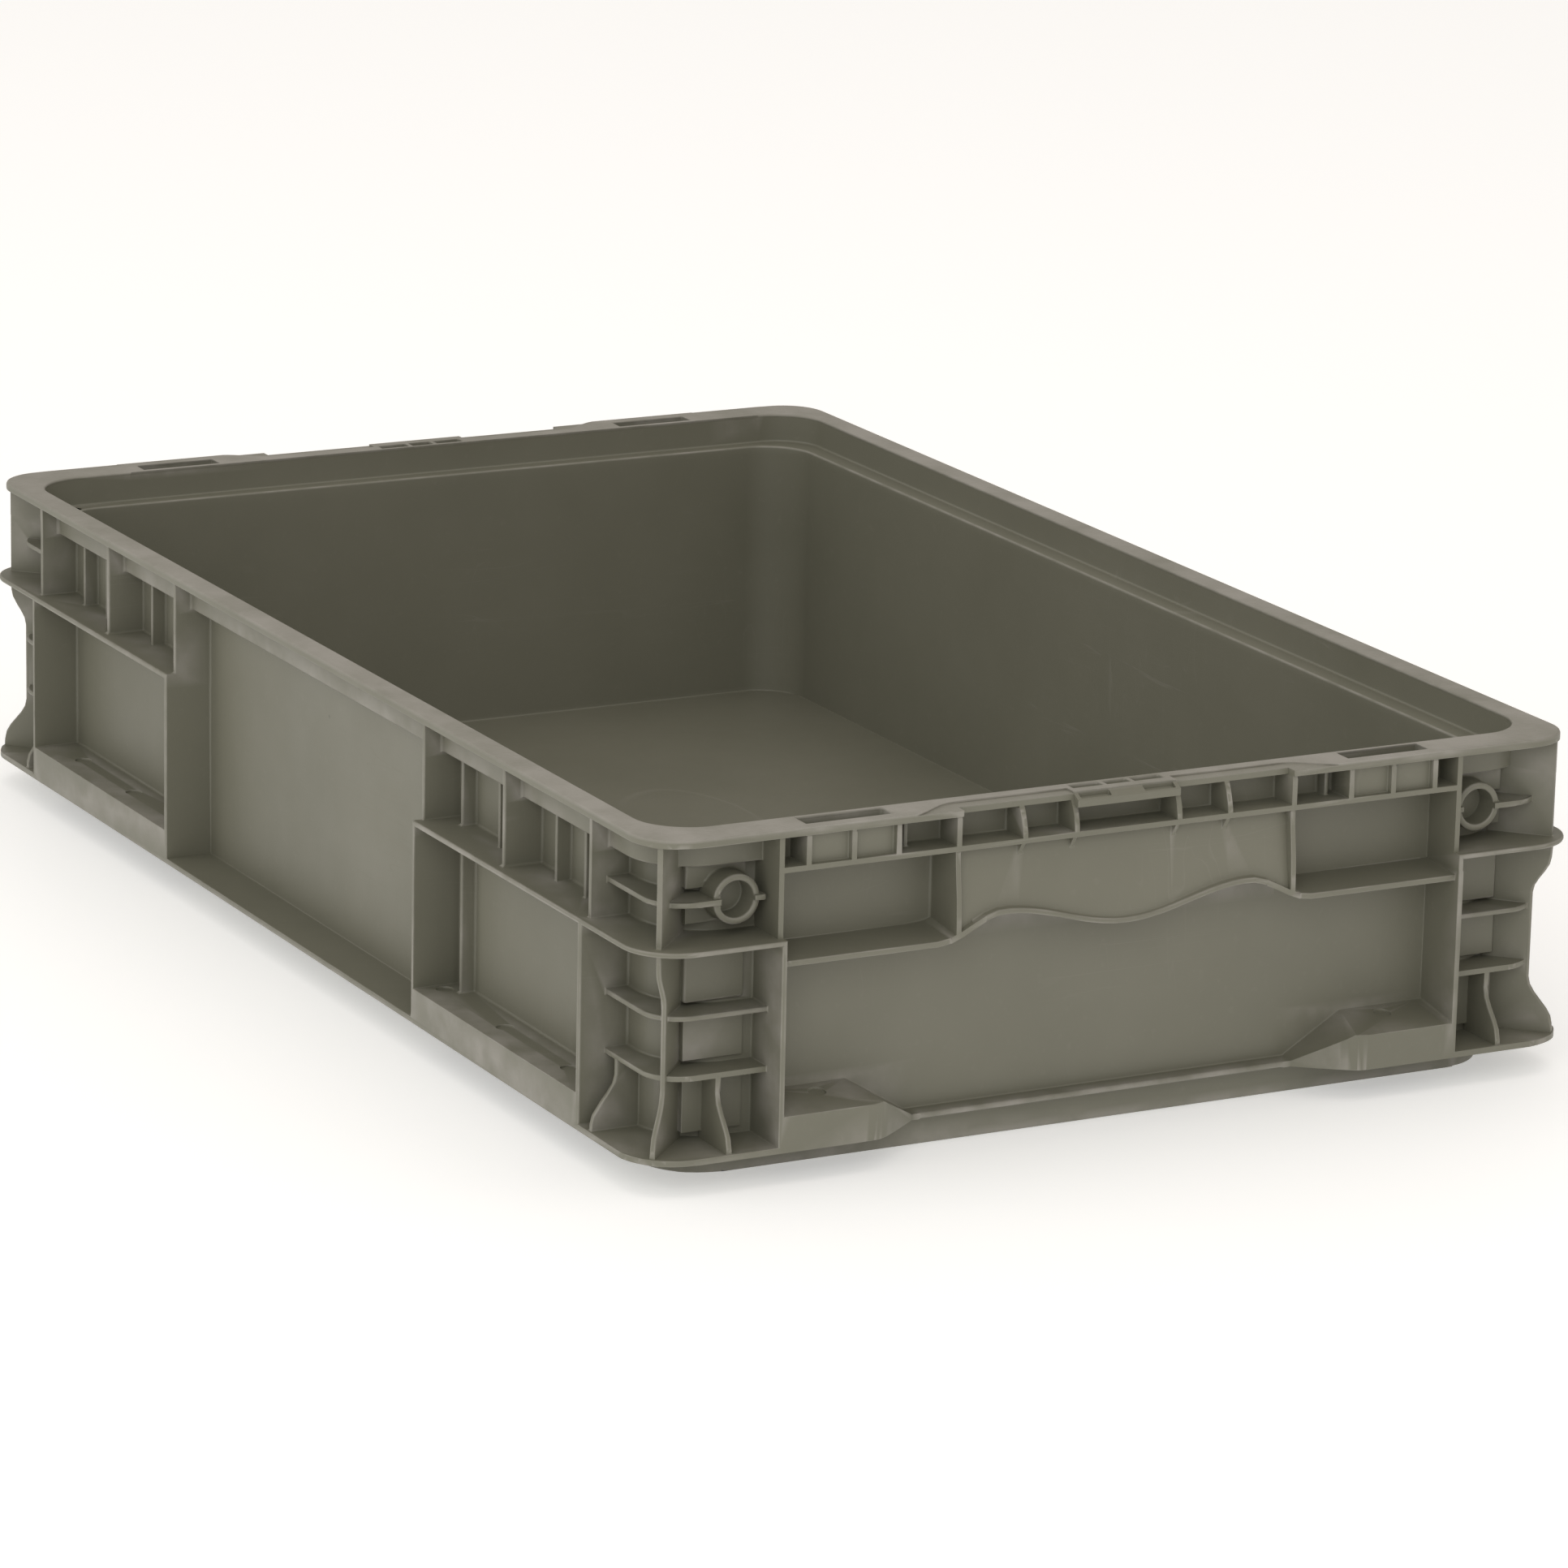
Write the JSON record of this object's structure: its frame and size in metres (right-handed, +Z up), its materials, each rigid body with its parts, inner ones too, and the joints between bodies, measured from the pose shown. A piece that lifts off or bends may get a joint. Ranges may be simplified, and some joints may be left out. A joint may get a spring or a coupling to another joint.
{
  "type": "stacking storage container",
  "caption": "Rigid rectangular stacking container with ribbed straight walls, an open top, a moulded hand grip at each end and a foot that nests in the rim below.",
  "frame": {"origin": "centre of the underside of the foot", "axes": "+X along the length, +Y across the width, +Z up to the rim"},
  "size_m": [0.6096, 0.381, 0.127],
  "materials": {
    "crate_plastic": "fine moulded matte, grey-green, lightly scuffed on the rim"
  },
  "bodies": {
    "root": {"base_floor": "crate_plastic", "stacking_foot": "crate_plastic", "side_panel_back": "crate_plastic", "side_panel_front": "crate_plastic", "rim_side_back": "crate_plastic", "rim_side_front": "crate_plastic", "end_foot_rail_right": "crate_plastic", "end_foot_rail_left": "crate_plastic", "end_panel_right": "crate_plastic", "end_panel_left": "crate_plastic", "hand_grip_right": "crate_plastic", "hand_grip_left": "crate_plastic", "cell_rail_right": "crate_plastic", "cell_rail_left": "crate_plastic", "rim_end_right": "crate_plastic", "rim_end_left": "crate_plastic", "lower_bay_back_right": "crate_plastic", "lower_bay_front_right": "crate_plastic", "lower_bay_back_left": "crate_plastic", "lower_bay_front_left": "crate_plastic", "upper_bay_back_right": "crate_plastic", "upper_bay_front_right": "crate_plastic", "upper_bay_back_left": "crate_plastic", "upper_bay_front_left": "crate_plastic", "corner_post_back_right": "crate_plastic", "corner_post_front_right": "crate_plastic", "corner_post_back_left": "crate_plastic", "corner_post_front_left": "crate_plastic", "corner_bay_back_right": "crate_plastic", "corner_bay_front_right": "crate_plastic", "corner_bay_back_left": "crate_plastic", "corner_bay_front_left": "crate_plastic", "rim_corner_back_right": "crate_plastic", "rim_corner_front_right": "crate_plastic", "rim_corner_back_left": "crate_plastic", "rim_corner_front_left": "crate_plastic", "end_block_back_right": "crate_plastic", "end_block_front_right": "crate_plastic", "end_block_back_left": "crate_plastic", "end_block_front_left": "crate_plastic", "label_pocket_back_right": "crate_plastic", "label_pocket_front_right": "crate_plastic", "label_pocket_back_left": "crate_plastic", "label_pocket_front_left": "crate_plastic", "slot_cells_back_right": "crate_plastic", "slot_cells_front_right": "crate_plastic", "slot_cells_back_left": "crate_plastic", "slot_cells_front_left": "crate_plastic", "rim_slot_back_right": "crate_plastic", "rim_slot_front_right": "crate_plastic", "rim_slot_back_left": "crate_plastic", "rim_slot_front_left": "crate_plastic"}
  },
  "joints": []
}
